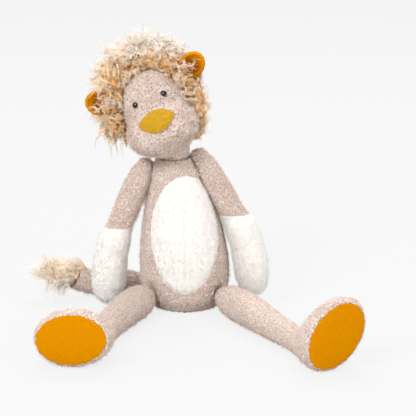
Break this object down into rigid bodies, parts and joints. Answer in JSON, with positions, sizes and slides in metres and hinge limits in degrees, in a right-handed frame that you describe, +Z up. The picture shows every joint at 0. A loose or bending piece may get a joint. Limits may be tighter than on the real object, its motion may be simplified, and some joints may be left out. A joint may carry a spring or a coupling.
{
  "type": "plush lion",
  "caption": "Seated stuffed lion with a long shaggy mane, white belly and mittens, linen soles, and limbs, head and tail that move at their seams.",
  "frame": {"origin": "middle of the flat seat under the torso", "axes": "+Z up, -Y the way the lion faces, +X the lion's own left"},
  "size_m": [0.4561, 0.3959, 0.3936],
  "materials": {
    "boucle": "looped beige knit",
    "plush": "short white pile",
    "pile": "long curly straw pile",
    "linen": "mustard linen weave",
    "felt": "mustard felt",
    "filling": "white fibre wadding",
    "eye": "glossy",
    "washer": "moulded",
    "bag": "plain cotton"
  },
  "bodies": {
    "torso": {"torso_cover": "boucle", "belly_panel": "plush", "torso_filling": "filling", "pellet_bag": "bag"},
    "neck": {"neck_filling": "filling"},
    "head": {"head_cover": "boucle", "head_filling": "filling", "mane": "pile", "nose": "felt", "eye_left": "eye", "eye_right": "eye", "eye_washer_left": "washer", "eye_washer_right": "washer", "ear_left": "linen", "ear_right": "linen"},
    "arm_left": {"upper_arm_left": "boucle", "mitten_left": "plush", "arm_filling_left": "filling"},
    "arm_right": {"upper_arm_right": "boucle", "mitten_right": "plush", "arm_filling_right": "filling"},
    "leg_left": {"leg_left": "boucle", "sole_left": "linen", "leg_filling_left": "filling"},
    "leg_right": {"leg_right": "boucle", "sole_right": "linen", "leg_filling_right": "filling"},
    "tail": {"tail_cover": "boucle", "tail_filling": "filling", "tail_tuft": "pile"}
  },
  "joints": [
    {"name": "neck_turn", "type": "hinge", "parent": "torso", "child": "neck", "pos_m": [-0.015, -0.024, 0.231], "axis": [0, 0, 1], "range_deg": [-35, 35]},
    {"name": "neck_tilt", "type": "hinge", "parent": "neck", "child": "head", "pos_m": [-0.015, -0.024, 0.231], "axis": [0, 1, 0], "range_deg": [-6, 18]},
    {"name": "arm_left_lift", "type": "hinge", "parent": "torso", "child": "arm_left", "pos_m": [0.01976, -0.02235, 0.22], "axis": [-0.7071, -0.7071, 0], "range_deg": [0, 75]},
    {"name": "arm_right_lift", "type": "hinge", "parent": "torso", "child": "arm_right", "pos_m": [-0.05502, -0.01959, 0.206], "axis": [-0.7071, 0.7071, 0], "range_deg": [0, 75]},
    {"name": "leg_left_lift", "type": "hinge", "parent": "torso", "child": "leg_left", "pos_m": [0.05528, -0.03944, 0.0238], "axis": [-0.8925, -0.451, 0], "range_deg": [-75, 40]},
    {"name": "leg_right_lift", "type": "hinge", "parent": "torso", "child": "leg_right", "pos_m": [-0.05561, -0.03944, 0.0238], "axis": [-0.9301, 0.3674, 0], "range_deg": [-75, 40]},
    {"name": "tail_swing", "type": "hinge", "parent": "torso", "child": "tail", "pos_m": [-0.05354, 0.04043, 0.0195], "axis": [0, 0, 1], "range_deg": [-35, 10]}
  ]
}
